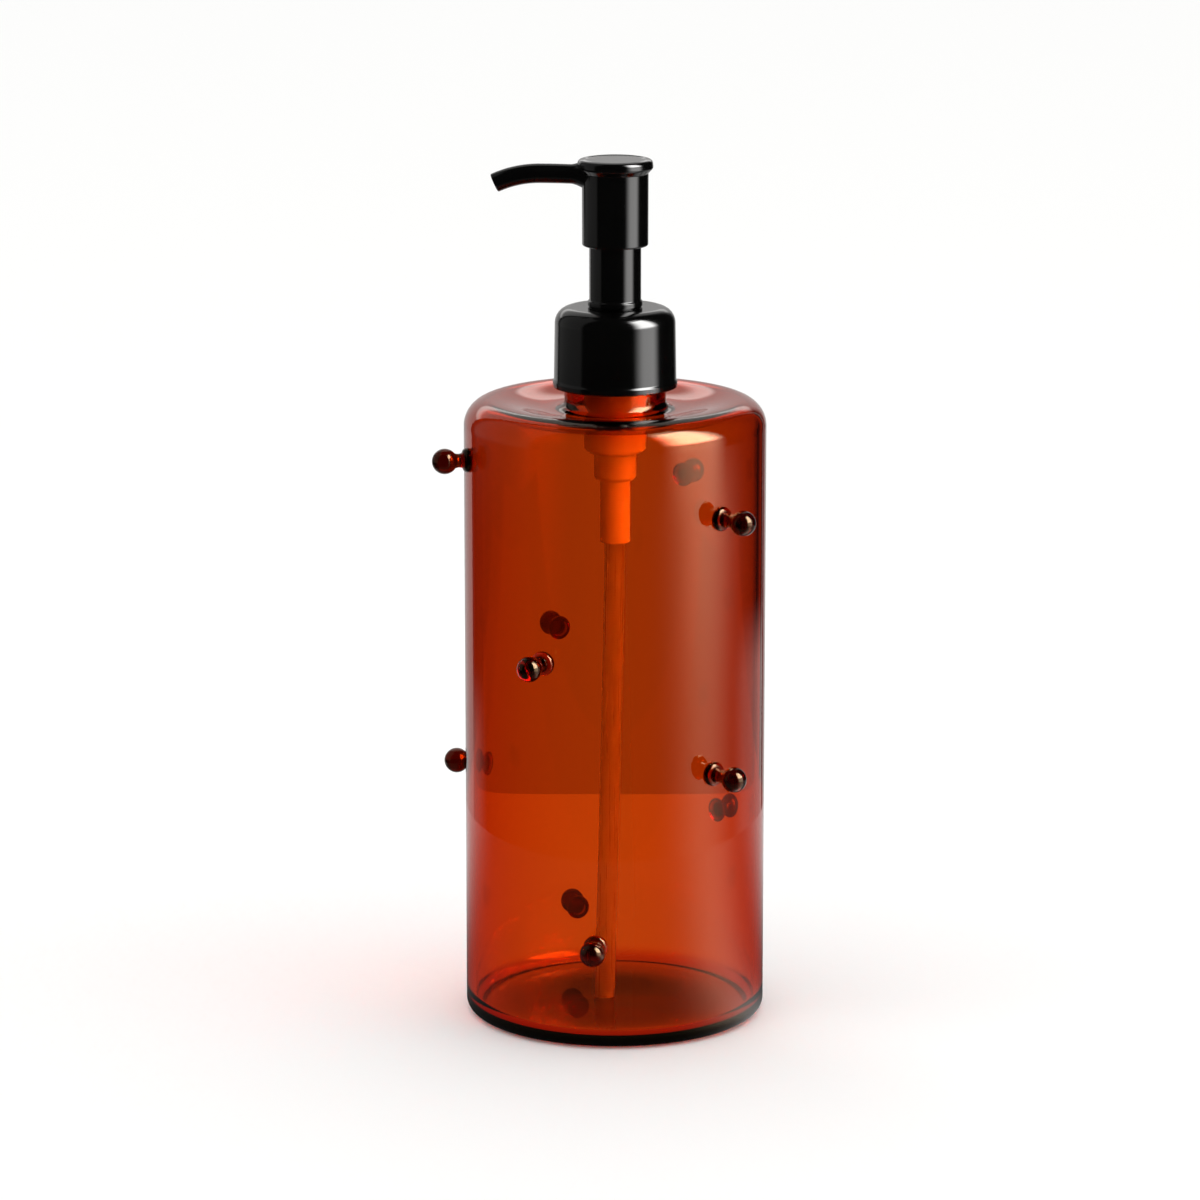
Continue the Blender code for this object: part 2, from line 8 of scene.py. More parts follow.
import bmesh
import bpy
import numpy as np
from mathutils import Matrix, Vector

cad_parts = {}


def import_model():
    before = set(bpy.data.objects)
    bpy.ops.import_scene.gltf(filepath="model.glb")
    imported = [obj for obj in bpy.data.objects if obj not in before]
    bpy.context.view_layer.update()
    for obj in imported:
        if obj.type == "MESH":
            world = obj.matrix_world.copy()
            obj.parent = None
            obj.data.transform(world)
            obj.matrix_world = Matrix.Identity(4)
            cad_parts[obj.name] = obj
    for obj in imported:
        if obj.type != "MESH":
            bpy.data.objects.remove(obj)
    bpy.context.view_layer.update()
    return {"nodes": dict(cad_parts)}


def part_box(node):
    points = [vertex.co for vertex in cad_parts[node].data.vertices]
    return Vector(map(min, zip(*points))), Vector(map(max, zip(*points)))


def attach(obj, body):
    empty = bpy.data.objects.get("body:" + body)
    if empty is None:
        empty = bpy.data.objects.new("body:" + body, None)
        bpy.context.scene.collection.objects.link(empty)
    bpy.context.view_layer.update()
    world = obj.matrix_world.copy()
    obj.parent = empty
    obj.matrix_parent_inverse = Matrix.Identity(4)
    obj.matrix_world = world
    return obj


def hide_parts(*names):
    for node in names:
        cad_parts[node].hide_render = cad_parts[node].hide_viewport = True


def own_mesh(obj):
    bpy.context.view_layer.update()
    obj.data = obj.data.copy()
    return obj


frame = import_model()

MM = 0.001
AROUND = 160                     # facets round the large turned pieces
AROUND_SMALL = 72                # facets round the small ones
AROUND_BEAD = 48                 # and round beads and valve balls


def extent(node):
    """A round node's outside radius, lowest and highest point."""
    low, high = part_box(node)
    return max(high.x, high.y), low.z, high.z


BODY_R, _, NECK_TOP = extent("glass_bottle")
CAP_LIP_R, CAP_FOOT, CAP_TOP = extent("closure")
TOWER_RING_R, TOWER_FOOT, TOWER_TOP = extent("guide_tower")
HEAD_FOOT, HEAD_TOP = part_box("actuator_head")[0].z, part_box("actuator_head")[1].z
GASKET_R, GASKET_FOOT, GASKET_TOP = extent("neck_gasket")
HOUSING_R, HOUSING_FOOT, HOUSING_TOP = extent("pump_housing")
FLANGE_R, STEM_FOOT, STEM_TOP = extent("stem")
PISTON_R, PISTON_FOOT, PISTON_TOP = extent("piston_seal")
SPRING_OUT_R, SPRING_FOOT, SPRING_TOP = extent("return_spring")
TUBE_FOOT, TUBE_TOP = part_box("dip_tube")[0].z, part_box("dip_tube")[1].z

# Glass
WALL = 2.2 * MM
FLOOR_T = 2.2 * MM
SHOULDER_Z = 156.5 * MM
SHOULDER_ROUND = 6.6 * MM
DISH_Z = 154.3 * MM
NECK_ROOT_R = 15.1 * MM
NECK_R = 12.6 * MM
BORE_R = 10.3 * MM
BASE_ROUND = 3.0 * MM
INNER_BASE_ROUND = 4.0 * MM
PUNT_R = 27.0 * MM
PUNT_H = 0.9 * MM
BEAD_BALL_R = 3.15 * MM
BEAD_WAIST_R = 1.7 * MM
BEAD_FOOT_R = 3.05 * MM
BEAD_FOOT_ROUND = 1.15 * MM      # rounding of the foot's top edge
BEAD_FOOT_LIFT = 0.35 * MM       # that rounding's centre above the wall
BEAD_SINK = 0.9 * MM             # how deep the foot sinks into the wall
LIP_INNER = 0.6 * MM             # roundings of the neck's lip
LIP_OUTER = 0.8 * MM
EASE = 0.5 * MM                  # flat stretch left before an arc starts
TALL_STEP = 10.0 * MM            # spacing of points up a plain wall

# Threads
THREAD_PITCH = 25.4 / 6 * MM
THREAD_TURNS = 1.5
THREAD_H = 0.7 * MM
THREAD_HALF_W = 0.9 * MM
NECK_THREAD_TOP = NECK_TOP - 2.6 * MM
THREAD_FADE = 0.1                # turns over which a ridge rises and dies away
RIDGE_STEP = 0.22 * MM           # spacing of points where a ridge runs

# Pump
CAP_R = 14.85 * MM
CAP_DRAFT_R = 15.15 * MM
CAP_INNER_R = 14.1 * MM
CAP_HOLE_R = 6.4 * MM
CAP_PLATE = 1.6 * MM
TOWER_R = 6.4 * MM
TOWER_BORE_R = 4.7 * MM
TOWER_PLUG_R = 6.1 * MM
TOWER_RING_Z = CAP_TOP + 0.3 * MM
TOWER_LIP_R = 3.65 * MM
SKIRT_R = 8.2 * MM
SKIRT_BORE_R = 7.0 * MM
RIM_R = 9.4 * MM
RIM_Z = HEAD_TOP - 1.8 * MM
DISC_R = 8.3 * MM
CEILING_Z = 210.2 * MM
BOSS_R = 4.35 * MM
BOSS_BORE_R = 3.6 * MM
BOSS_FOOT = 203.0 * MM
NOZZLE_R = 2.4 * MM
NOZZLE_BORE_R = 1.45 * MM
NOZZLE_Z = 212.3 * MM
NOZZLE_RISE = 0.3 * MM
NOZZLE_ARC_X = -18.7 * MM
NOZZLE_ARC_R = 26.0 * MM
NOZZLE_DROOP = math.radians(25.0)
NOZZLE_FLARE = 1.35 * MM         # how much thicker the nozzle is at its root
NOZZLE_FLARE_X = -10.9 * MM      # where the flare has died away
NOZZLE_LIP = 0.35 * MM
NOZZLE_BORE_SHOWN = 9.0 * MM     # how far the bore goes in from the tip
GASKET_HOLE_R = 8.4 * MM
PISTON_WAIST_R = 5.3 * MM
PISTON_LIP = 1.3 * MM
BARREL_R = 7.65 * MM
BARREL_BORE_R = 6.5 * MM
BARREL_FOOT = 143.2 * MM
CHAMBER_R = 5.25 * MM
CHAMBER_BORE_R = 4.1 * MM
CHAMBER_FOOT = 136.3 * MM
SOCKET_R = 3.75 * MM
SOCKET_BORE_R = 2.88 * MM
SPRING_LEDGE = 145.3 * MM
TUBE_STOP = 133.9 * MM
SEAT_HOLE_R = 1.5 * MM
SEAT_Z = 135.2 * MM
FLANGE_FOOT = GASKET_TOP + 0.3 * MM
STEM_R = 3.3 * MM
STEM_BORE_R = 1.2 * MM
STEM_CUP_R = 2.5 * MM
STEM_CUP_Z = 203.6 * MM
STEM_FLANGE_T = 1.2 * MM
WIRE_R = 0.4 * MM
SPRING_TURNS = 5
TUBE_R = 2.58 * MM
TUBE_BORE_R = 1.85 * MM
TUBE_LEAN = 2.6 * MM


# ---------------------------------------------------------------------------------------------
# Outlines and surfaces
# ---------------------------------------------------------------------------------------------

def unit(vector):
    """The vector at length one."""
    return vector / np.linalg.norm(vector)


def pencil(corners, closed=False, steps=7, guard=0.05 * MM):
    """An outline in the (radius, height) plane through corners of (radius, height, rounding).

    A corner with a rounding becomes the arc that touches both its sides; a point just before and
    just after each arc keeps the flat stretches flat when shaded."""
    points = []
    count = len(corners)
    for i, (r, z, rounding) in enumerate(corners):
        here = np.array((r, z))
        at_end = not closed and i in (0, count - 1)
        if rounding <= 0.0 or at_end:
            points.append(here[None])
            continue
        back = unit(np.array(corners[i - 1][:2]) - here)
        ahead = unit(np.array(corners[(i + 1) % count][:2]) - here)
        half = 0.5 * math.acos(max(-1.0, min(1.0, float(back @ ahead))))
        run = rounding / math.tan(half)
        centre = here + unit(back + ahead) * rounding / math.sin(half)
        start, end = here + back * run, here + ahead * run
        a0 = math.atan2(*(start - centre)[::-1])
        sweep = math.atan2(*(end - centre)[::-1]) - a0
        sweep = (sweep + math.pi) % (2.0 * math.pi) - math.pi
        angle = a0 + sweep * np.linspace(0.0, 1.0, steps + 1)
        arc = centre + rounding * np.stack([np.cos(angle), np.sin(angle)], 1)
        points += [(start + back * guard)[None], arc, (end + ahead * guard)[None]]
    return np.concatenate(points)


def dense(start, end, step):
    """Evenly spaced points between two outline points, for stretches that carry a ridge."""
    start, end = np.array(start), np.array(end)
    count = max(2, int(np.ceil(np.linalg.norm(end - start) / step)))
    share = np.linspace(0.0, 1.0, count + 1)[:, None]
    return start + (end - start) * share


def turned(outline, around, swell=None):
    """A surface of revolution: point (i, j) is outline point i turned by j parts of a full turn.
    swell(angle, height, radius) may add to the radius."""
    angle = np.linspace(0.0, 2.0 * np.pi, around, endpoint=False)[None, :]
    radius = outline[:, :1] + 0.0 * angle
    height = outline[:, 1:] + 0.0 * angle
    if swell is not None:
        radius = radius + swell(angle + 0.0 * radius, height, radius)
    return np.stack([radius * np.cos(angle), radius * np.sin(angle), height], 2)


def swept(path, across, up, profile, around=AROUND_SMALL):
    """A tube along a path: at path point i the cross-section is a circle of radius profile[i] in
    the plane of the across and up directions."""
    angle = np.linspace(0.0, 2.0 * np.pi, around, endpoint=False)
    cosine, sine = np.cos(angle)[None, :, None], np.sin(angle)[None, :, None]
    round_way = cosine * across[:, None] + sine * up[:, None]
    return path[:, None] + profile[:, None, None] * round_way


def surface(name, grid, loop=False, smooth=40.0):
    """A mesh of quads over a grid that closes round its second parameter, and round its first too
    when it is a loop. Rows that shrink to a point are merged into a pole."""
    rows, around = grid.shape[:2]
    index = np.arange(rows * around).reshape(rows, around)
    if loop:
        index = np.vstack([index, index[:1]])
    right = np.roll(index, -1, axis=1)
    quads = np.stack([index[:-1], index[1:], right[1:], right[:-1]], 2).reshape(-1, 4)
    mesh = bpy.data.meshes.new(name)
    mesh.from_pydata(grid.reshape(-1, 3).tolist(), [], quads.tolist())
    weld = bmesh.new()
    weld.from_mesh(mesh)
    bmesh.ops.remove_doubles(weld, verts=weld.verts, dist=1e-7)
    bmesh.ops.recalc_face_normals(weld, faces=weld.faces)
    weld.to_mesh(mesh)
    weld.free()
    piece = bpy.data.objects.new(name, mesh)
    bpy.context.scene.collection.objects.link(piece)
    soften(piece, smooth)
    return piece


def soften(piece, angle_deg):
    """Smooth shading with edges sharper than the angle kept."""
    piece.data.shade_smooth()
    piece.data.set_sharp_from_angle(angle=math.radians(angle_deg))


def fuse(piece, others, name):
    """One closed skin round the piece and the others, which are used up."""
    for other in others:
        join = piece.modifiers.new(other.name, "BOOLEAN")
        join.operation = "UNION"
        join.solver = "EXACT"
        join.object = other
    graph = bpy.context.evaluated_depsgraph_get()
    mesh = bpy.data.meshes.new_from_object(piece.evaluated_get(graph))
    fused = bpy.data.objects.new(name, mesh)
    bpy.context.scene.collection.objects.link(fused)
    for used in [piece, *others]:
        bpy.data.objects.remove(used, do_unlink=True)
    return fused


def helix_ridge(top, sign):
    """A swell that follows a right-hand thread down from its top: a raised cosine across the
    ridge, THREAD_HALF_W each way, fading in and out at its two ends."""
    def swell(angle, height, radius):
        best = np.zeros_like(height)
        for k in range(int(THREAD_TURNS) + 2):
            along = k - angle / (2.0 * np.pi)
            centre = top - along * THREAD_PITCH
            rising = np.clip(along / THREAD_FADE, 0.0, 1.0)
            dying = np.clip((THREAD_TURNS - along) / THREAD_FADE, 0.0, 1.0)
            off = np.clip(np.abs(height - centre) / THREAD_HALF_W, 0.0, 1.0)
            best = np.maximum(best, rising * dying * 0.5 * (1.0 + np.cos(np.pi * off)))
        return sign * THREAD_H * best
    return swell


# ---------------------------------------------------------------------------------------------
# Shader writing
# ---------------------------------------------------------------------------------------------

class Wire:
    """A shader socket that can be added, multiplied and so on, one Math node at a time."""

    def __init__(self, tree, socket):
        self.tree = tree
        self.socket = socket

    def node(self, kind, settings=None, **inputs):
        """Any other node: its settings first, then its sockets by name, and its first output."""
        made = self.tree.nodes.new(kind)
        for key, value in (settings or {}).items():
            setattr(made, key, value)
        for key, value in inputs.items():
            plug(self.tree, made, key, value)
        return Wire(self.tree, made.outputs[0])

    def math(self, operation, *values):
        """One Math node over this socket and up to two more values."""
        made = self.tree.nodes.new("ShaderNodeMath")
        made.operation = operation
        for i, value in enumerate((self, *values)):
            plug(self.tree, made, i, value)
        return Wire(self.tree, made.outputs[0])

    def __add__(self, other):
        return self.math("ADD", other)

    __radd__ = __add__

    def __mul__(self, other):
        return self.math("MULTIPLY", other)

    __rmul__ = __mul__

    def __sub__(self, other):
        return self.math("SUBTRACT", other)

    def __rsub__(self, other):
        return (self * -1.0) + other

    def __pow__(self, other):
        return self.math("POWER", other)


def plug(tree, node, key, value):
    """Link or set one input of a node."""
    socket = node.inputs[key.replace("_", " ") if isinstance(key, str) else key]
    if isinstance(value, Wire):
        tree.links.new(value.socket, socket)
    else:
        socket.default_value = value


class Finish:
    """A material round one Principled shader, with helpers for patterns on Object coordinates."""

    def __init__(self, name, **sockets):
        self.material = bpy.data.materials.new(name)
        self.material.use_nodes = True
        self.tree = self.material.node_tree
        self.shader = self.tree.nodes["Principled BSDF"]
        place = self.tree.nodes.new("ShaderNodeTexCoord")
        self.place = Wire(self.tree, place.outputs["Object"])
        self.set(**sockets)

    def set(self, **sockets):
        """Set or link sockets of the shader, named with underscores."""
        for key, value in sockets.items():
            plug(self.tree, self.shader, key, value)

    def position(self):
        """The three Object coordinates, in metres."""
        split = self.tree.nodes.new("ShaderNodeSeparateXYZ")
        self.tree.links.new(self.place.socket, split.inputs[0])
        return [Wire(self.tree, split.outputs[axis]) for axis in "XYZ"]

    def stretched(self, x, y, z):
        """Object coordinates scaled along each axis."""
        return self.place.node("ShaderNodeMapping", Vector=self.place, Scale=(x, y, z))

    def noise(self, scale, detail=2.0, roughness=0.5, vector=None):
        """A noise value from 0 to 1."""
        vector = vector or self.place
        return vector.node("ShaderNodeTexNoise", Vector=vector, Scale=scale, Detail=detail,
                           Roughness=roughness)

    def ramp(self, value, low, high):
        """The value carried from 0..1 to low..high."""
        return value.node("ShaderNodeMapRange", Value=value, To_Min=low, To_Max=high)

    def bump(self, height, strength, distance):
        """A bump normal from a height."""
        return height.node("ShaderNodeBump", Height=height, Strength=strength, Distance=distance)

    def tint(self, mask, first, second):
        """A colour that goes from first to second with the mask."""
        mixed = self.tree.nodes.new("ShaderNodeMix")
        mixed.data_type = "RGBA"
        plug(self.tree, mixed, 0, mask)
        for socket in mixed.inputs:
            if socket.type == "RGBA" and socket.name in "AB":
                socket.default_value = (*(first if socket.name == "A" else second), 1.0)
        colour = [s for s in mixed.outputs if s.type == "RGBA"][0]
        return Wire(self.tree, colour)


def amber_glass():
    """Clear amber glass. The colour is in its thickness: what a wall of it takes out of the light.
    The beads outside the wall get a base colour near black, so they come out nearly black."""
    finish = Finish("amber_glass", Base_Color=(1.0, 1.0, 1.0, 1.0), Roughness=0.0, IOR=1.5,
                    Transmission_Weight=1.0, Specular_Tint=(1.0, 0.66, 0.38, 1.0))
    x, y, _ = finish.position()
    from_axis = (x * x + y * y) ** 0.5
    outside = step(from_axis, BODY_R + 0.7 * MM, BODY_R + 1.6 * MM)
    finish.set(Base_Color=finish.tint(outside, (1.0, 1.0, 1.0), (0.12, 0.05, 0.04)))
    waves = finish.noise(1.0, 1.0, vector=finish.stretched(55.0, 55.0, 14.0))
    finish.set(Normal=finish.bump(waves, 0.13, 0.15 * MM))
    inside = finish.tree.nodes.new("ShaderNodeVolumeAbsorption")
    inside.inputs["Color"].default_value = (0.903, 0.52, 0.0, 1.0)
    inside.inputs["Density"].default_value = 1420.0
    output = finish.tree.nodes["Material Output"]
    finish.tree.links.new(inside.outputs[0], output.inputs["Volume"])
    return finish.material


def black_plastic():
    """Glossy black moulding: slightly uneven polish and the faintest flow waves."""
    finish = Finish("black_plastic", IOR=1.5)
    patches = finish.noise(90.0, 3.0)
    specks = finish.noise(1600.0, 2.0)
    finish.set(Base_Color=finish.tint(patches, (0.0006, 0.0006, 0.0006), (0.0016, 0.0015, 0.0014)))
    finish.set(Roughness=finish.ramp(patches, 0.09, 0.15))
    finish.set(Normal=finish.bump(patches * 0.8 + specks * 0.05, 0.12, 0.05 * MM))
    return finish.material


def natural_plastic():
    """Natural polypropylene: milky, satin, with a fine moulded grain."""
    finish = Finish("natural_plastic", IOR=1.49, Subsurface_Weight=0.25,
                    Subsurface_Radius=(1.0, 0.9, 0.8), Subsurface_Scale=1.5 * MM)
    grain = finish.noise(900.0, 3.0)
    cloud = finish.noise(120.0, 2.0)
    finish.set(Base_Color=finish.tint(cloud, (0.74, 0.72, 0.65), (0.81, 0.79, 0.73)))
    finish.set(Roughness=finish.ramp(grain, 0.32, 0.48))
    finish.set(Normal=finish.bump(grain, 0.15, 0.05 * MM))
    return finish.material


def tube_plastic():
    """Translucent extruded tube with faint draw lines along its length."""
    finish = Finish("tube_plastic", IOR=1.3, Transmission_Weight=0.85)
    lines = finish.noise(1.0, 2.0, vector=finish.stretched(2400.0, 2400.0, 30.0))
    finish.set(Base_Color=finish.tint(lines, (0.86, 0.86, 0.83), (0.95, 0.95, 0.93)))
    finish.set(Roughness=finish.ramp(lines, 0.22, 0.36))
    finish.set(Normal=finish.bump(lines, 0.15, 0.04 * MM))
    return finish.material


def soft_seal():
    """Soft polyethylene of the gasket and piston: white, waxy."""
    finish = Finish("soft_seal", IOR=1.5)
    grain = finish.noise(700.0, 3.0)
    finish.set(Base_Color=finish.tint(grain, (0.84, 0.84, 0.82), (0.93, 0.93, 0.91)))
    finish.set(Roughness=finish.ramp(grain, 0.42, 0.6))
    finish.set(Normal=finish.bump(grain, 0.2, 0.05 * MM))
    return finish.material


def spring_steel():
    """Drawn stainless wire with fine drawing lines."""
    finish = Finish("spring_steel", Metallic=1.0)
    lines = finish.noise(2600.0, 3.0)
    finish.set(Base_Color=finish.tint(lines, (0.50, 0.50, 0.51), (0.68, 0.68, 0.69)))
    finish.set(Roughness=finish.ramp(lines, 0.18, 0.34))
    finish.set(Normal=finish.bump(lines, 0.1, 0.03 * MM))
    return finish.material


def valve_glass():
    """Ground glass ball."""
    finish = Finish("valve_glass", Base_Color=(0.93, 0.97, 0.96, 1.0), IOR=1.5, Transmission_Weight=1.0)
    grain = finish.noise(1500.0, 2.0)
    finish.set(Roughness=finish.ramp(grain, 0.04, 0.12))
    return finish.material


def place(piece, material, body, slot, *nodes):
    """Dress a finished piece, put it on its body and let it stand for its CAD nodes."""
    piece.data.materials.clear()
    piece.data.materials.append(material)
    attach(piece, body)
    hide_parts(*nodes)
    return piece


# ---------------------------------------------------------------------------------------------
# Glass
# ---------------------------------------------------------------------------------------------

def shoulder_height(r):
    """The dished shoulder: half a cosine wave from the neck's root up to the highest ring."""
    outer = BODY_R - SHOULDER_ROUND
    share = np.clip((r - NECK_ROOT_R) / (outer - NECK_ROOT_R), 0.0, 1.0)
    return DISH_Z + (SHOULDER_Z - DISH_Z) * 0.5 * (1.0 - np.cos(np.pi * share))


def curve_arc(centre_r, centre_z, radius, start_deg, end_deg, steps):
    """Points of a circular arc in the (radius, height) plane."""
    angle = np.radians(np.linspace(start_deg, end_deg, steps + 1))
    return np.stack([centre_r + radius * np.cos(angle), centre_z + radius * np.sin(angle)], 1)


def bottle_outline():
    """The wall in one go: inner floor, up inside, over the lip, down outside, under the base."""
    corner_r = BODY_R - SHOULDER_ROUND
    corner_z = SHOULDER_Z - SHOULDER_ROUND
    inner_r = BODY_R - WALL
    root = NECK_ROOT_R - NECK_R
    dish_r = np.linspace(NECK_ROOT_R, corner_r, 24)[1:-1]
    dish = np.stack([dish_r, shoulder_height(dish_r)], 1)
    inner_root = WALL * 0.8
    inner_dish_r = np.linspace(BORE_R + inner_root, corner_r, 24)[1:-1]
    inner_dish = np.stack([inner_dish_r, shoulder_height(inner_dish_r) - WALL], 1)
    punt_r = np.linspace(PUNT_R, 0.0, 12)
    punt = np.stack([punt_r, PUNT_H * np.cos(0.5 * np.pi * punt_r / PUNT_R) ** 2], 1)
    floor_r = np.linspace(0.0, inner_r - INNER_BASE_ROUND - 0.4 * MM, 10)
    floor = np.stack([floor_r, FLOOR_T + 0.0 * floor_r], 1)
    return np.concatenate([
        floor,
        curve_arc(inner_r - INNER_BASE_ROUND, FLOOR_T + INNER_BASE_ROUND, INNER_BASE_ROUND, -90, 0, 14),
        dense((inner_r, FLOOR_T + INNER_BASE_ROUND + EASE), (inner_r, corner_z - EASE), TALL_STEP),
        curve_arc(corner_r, corner_z, SHOULDER_ROUND - WALL, 0, 90, 14),
        inner_dish[::-1],
        curve_arc(BORE_R + inner_root, DISH_Z - WALL + inner_root, inner_root, -90, -180, 8),
        np.array([(BORE_R, DISH_Z + 2.0 * MM), (BORE_R, NECK_TOP - 2.0 * MM)]),
        curve_arc(BORE_R + LIP_INNER, NECK_TOP - LIP_INNER, LIP_INNER, 180, 90, 6),
        curve_arc(NECK_R - LIP_OUTER, NECK_TOP - LIP_OUTER, LIP_OUTER, 90, 0, 6),
        dense((NECK_R, NECK_TOP - 1.0 * MM), (NECK_R, NECK_THREAD_TOP - 9.0 * MM), RIDGE_STEP),
        np.array([(NECK_R, DISH_Z + root + 0.4 * MM)]),
        curve_arc(NECK_R + root, DISH_Z + root, root, 180, 270, 10),
        dish,
        curve_arc(corner_r, corner_z, SHOULDER_ROUND, 90, 0, 20),
        dense((BODY_R, corner_z - EASE), (BODY_R, BASE_ROUND + EASE), TALL_STEP),
        curve_arc(BODY_R - BASE_ROUND, BASE_ROUND, BASE_ROUND, 0, -90, 12),
        np.array([(PUNT_R + 3.0 * MM, 0.0)]),
        punt,
    ])


def bead_surface(node):
    """A bead in place: a ball, a waist drawn in by a smooth cosine, and a rounded button foot that
    sinks into the wall, turned about the line from the bottle's axis through the bead's tip."""
    points = np.array([v.co for v in frame["nodes"][node].data.vertices])
    tip = points[np.argmax(np.hypot(points[:, 0], points[:, 1]))]
    outward = unit(np.array((tip[0], tip[1], 0.0)))
    stand_off = np.hypot(tip[0], tip[1]) - BODY_R - BEAD_BALL_R
    leave_deg = -math.degrees(math.acos(BEAD_WAIST_R * 1.12 / BEAD_BALL_R))
    ball = curve_arc(0.0, stand_off, BEAD_BALL_R, 90, leave_deg, 22)
    ball[0, 0] = 0.0
    share = np.linspace(0.0, 1.0, 9)[1:]
    start_r, start_z = ball[-1]
    mid_z = BEAD_FOOT_ROUND + BEAD_FOOT_LIFT
    waist_z = start_z + (mid_z - start_z) * share
    waist_r = start_r + (BEAD_WAIST_R * 1.15 - start_r) * share - 0.12 * start_r * np.sin(np.pi * share)
    button = curve_arc(BEAD_FOOT_R - BEAD_FOOT_ROUND, BEAD_FOOT_LIFT, BEAD_FOOT_ROUND, 80, -10, 10)
    button[:, 0] = np.maximum(button[:, 0], BEAD_WAIST_R * 1.2)
    sunk = np.array([(BEAD_FOOT_R * 0.98, -BEAD_SINK), (0.0, -BEAD_SINK)])
    outline = np.concatenate([ball, np.stack([waist_r, waist_z], 1), button, sunk])
    round_axis = turned(outline, AROUND_BEAD)
    side = np.array((-outward[1], outward[0], 0.0))
    rise = np.array((0.0, 0.0, 1.0))
    centre = outward * BODY_R + rise * 0.5 * (points[:, 2].min() + points[:, 2].max())
    sideways, upwards, outwards = round_axis[..., :1], round_axis[..., 1:2], round_axis[..., 2:]
    return surface(node + "_gather", centre + sideways * side + upwards * rise + outwards * outward)


def glass_body(material):
    """The bottle with its beads fused on, one closed skin of glass."""
    inner_limit = NECK_R - 0.3 * MM
    ridge = helix_ridge(NECK_THREAD_TOP, 1.0)

    def neck_only(angle, height, radius):
        below_lip = (height > DISH_Z + 4.0 * MM) & (height < NECK_TOP - 0.9 * MM)
        return np.where(below_lip & (radius > inner_limit), ridge(angle, height, radius), 0.0)

    wall = surface("bottle_wall", turned(bottle_outline(), AROUND, neck_only))
    beads = sorted(n for n in frame["nodes"] if n.startswith("glass_bead_"))
    glass = fuse(wall, [bead_surface(node) for node in beads], "bottle_glass")
    soften(glass, 50.0)
    return place(glass, material, "bottle", "amber_glass", "glass_bottle", *beads)


# ---------------------------------------------------------------------------------------------
# Closure and pump
# ---------------------------------------------------------------------------------------------

def closure_cap(material):
    """Smooth screw cap: rounded top edge, a little draft, a lip, and its thread inside."""
    plate = CAP_TOP - CAP_PLATE
    ridge_top = NECK_THREAD_TOP - 0.5 * THREAD_PITCH
    outside = pencil([
        (CAP_HOLE_R, plate + 0.2 * MM, 0.0), (CAP_HOLE_R, CAP_TOP, 0.25 * MM),
        (CAP_R, CAP_TOP, 3.9 * MM), (CAP_DRAFT_R, CAP_FOOT + 1.9 * MM, 0.5 * MM),
        (CAP_LIP_R, CAP_FOOT + 1.4 * MM, 0.35 * MM), (CAP_LIP_R, CAP_FOOT, 0.3 * MM),
        (CAP_INNER_R, CAP_FOOT, 0.2 * MM), (CAP_INNER_R, CAP_FOOT + 1.0 * MM, 0.0)])
    inside = pencil([
        (CAP_INNER_R, plate - 3.0 * MM, 0.0), (CAP_INNER_R, plate, 1.2 * MM),
        (CAP_HOLE_R, plate, 0.2 * MM), (CAP_HOLE_R, plate + 0.1 * MM, 0.0)])
    thread = dense((CAP_INNER_R, CAP_FOOT + 1.2 * MM), (CAP_INNER_R, plate - 3.1 * MM), RIDGE_STEP)
    ridge = helix_ridge(ridge_top, -1.0)

    def bore_only(angle, height, radius):
        on_bore = (np.abs(radius - CAP_INNER_R) < 0.02 * MM) & (height > CAP_FOOT + 1.1 * MM)
        return np.where(on_bore & (height < plate - 2.0 * MM), ridge(angle, height, radius), 0.0)

    grid = turned(np.concatenate([outside, thread, inside]), AROUND, bore_only)
    cap = surface("closure_cap", grid, loop=True)
    return place(cap, material, "closure", "black_plastic", "closure")


def tower_sleeve(material):
    """The fixed sleeve that the head slides over, with its foot ring and its plug."""
    ring_top = TOWER_RING_Z + 1.2 * MM
    outline = pencil([
        (TOWER_BORE_R, TOWER_TOP, 0.2 * MM), (TOWER_R, TOWER_TOP, 0.5 * MM),
        (TOWER_R, ring_top + 0.35 * MM, 0.3 * MM), (TOWER_RING_R, ring_top, 0.25 * MM),
        (TOWER_RING_R, TOWER_RING_Z, 0.2 * MM), (TOWER_PLUG_R, TOWER_RING_Z, 0.1 * MM),
        (TOWER_PLUG_R, TOWER_FOOT, 0.5 * MM), (TOWER_LIP_R, TOWER_FOOT, 0.3 * MM),
        (TOWER_LIP_R, TOWER_FOOT + 3.0 * MM, 0.3 * MM),
        (TOWER_BORE_R, TOWER_FOOT + 4.0 * MM, 0.3 * MM)], closed=True)
    sleeve = surface("tower_sleeve", turned(outline, AROUND), loop=True)
    return place(sleeve, material, "pump_body", "black_plastic", "guide_tower")


def nozzle_path(count):
    """The nozzle's centre line from inside the skirt to the tip: straight with a slight rise, then
    an arc that droops. Gives the points, the direction and the distance along the line."""
    root_x = -(SKIRT_BORE_R + 0.35 * MM)
    straight = abs(NOZZLE_ARC_X - root_x)
    arc = NOZZLE_ARC_R * NOZZLE_DROOP
    along = np.linspace(0.0, straight + arc, count)
    turn = np.clip((along - straight) / NOZZLE_ARC_R, 0.0, None)
    x = np.where(along < straight, root_x - along, NOZZLE_ARC_X - NOZZLE_ARC_R * np.sin(turn))
    climb = NOZZLE_RISE * np.sin(0.5 * np.pi * np.clip(along / straight, 0.0, 1.0))
    z = NOZZLE_Z + climb - NOZZLE_ARC_R * (1.0 - np.cos(turn))
    ahead = np.stack([-np.cos(turn), 0.0 * x, -np.sin(turn)], 1)
    return np.stack([x, 0.0 * x, z], 1), ahead, along


